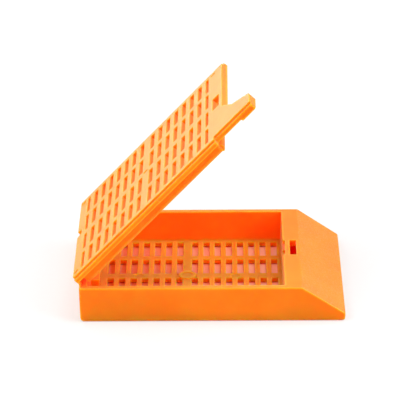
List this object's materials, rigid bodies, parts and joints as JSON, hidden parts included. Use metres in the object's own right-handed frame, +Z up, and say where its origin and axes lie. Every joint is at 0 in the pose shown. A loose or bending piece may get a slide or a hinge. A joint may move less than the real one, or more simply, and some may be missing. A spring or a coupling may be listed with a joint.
{
  "type": "tissue cassette",
  "caption": "Tissue cassette: perforated tray with a sloping label face and a perforated snap lid, held open on film-hinge straps.",
  "frame": {"origin": "on the tray's underside, in the middle of the perforated floor", "axes": "+X from the hinge to the label face, +Y across the tray, +Z up out of the chamber"},
  "size_m": [0.0415, 0.0284, 0.0356],
  "materials": {
    "acetal": "fine satin moulding, orange",
    "acetal_strap": "thin orange moulding, light shows through it"
  },
  "bodies": {
    "tray": {"tray": "acetal", "hinge_strap_near": "acetal_strap", "hinge_strap_far": "acetal_strap"},
    "lid": {"lid": "acetal"}
  },
  "joints": [
    {"name": "lid_hinge", "type": "hinge", "parent": "tray", "child": "lid", "pos_m": [-0.017, 0, 0.00551], "axis": [0, -1, 0], "range_deg": [-46.65, 133.35], "deforming": ["hinge_strap_near", "hinge_strap_far"]}
  ]
}
